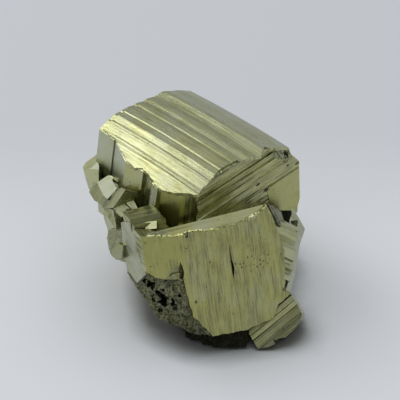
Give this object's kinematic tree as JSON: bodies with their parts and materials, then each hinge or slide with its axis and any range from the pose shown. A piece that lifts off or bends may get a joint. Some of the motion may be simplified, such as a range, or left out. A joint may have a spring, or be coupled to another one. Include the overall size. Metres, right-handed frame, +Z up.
{
  "type": "pyrite mineral specimen",
  "caption": "Free-standing cluster of intergrown, striated cubic pyrite crystals with a large sloping block on top and a broad upright crystal in front.",
  "frame": {"origin": "centre of the bounding box at floor level", "axes": "+Z up as it rests, -Y towards the broad front crystal face, +X to its right"},
  "size_m": [0.0634, 0.0674, 0.0495],
  "materials": {
    "pyrite": "metallic pale brass with an olive tarnish, polished facets and satin striations"
  },
  "bodies": {
    "root": {"pyrite_cluster": "pyrite"}
  },
  "joints": []
}
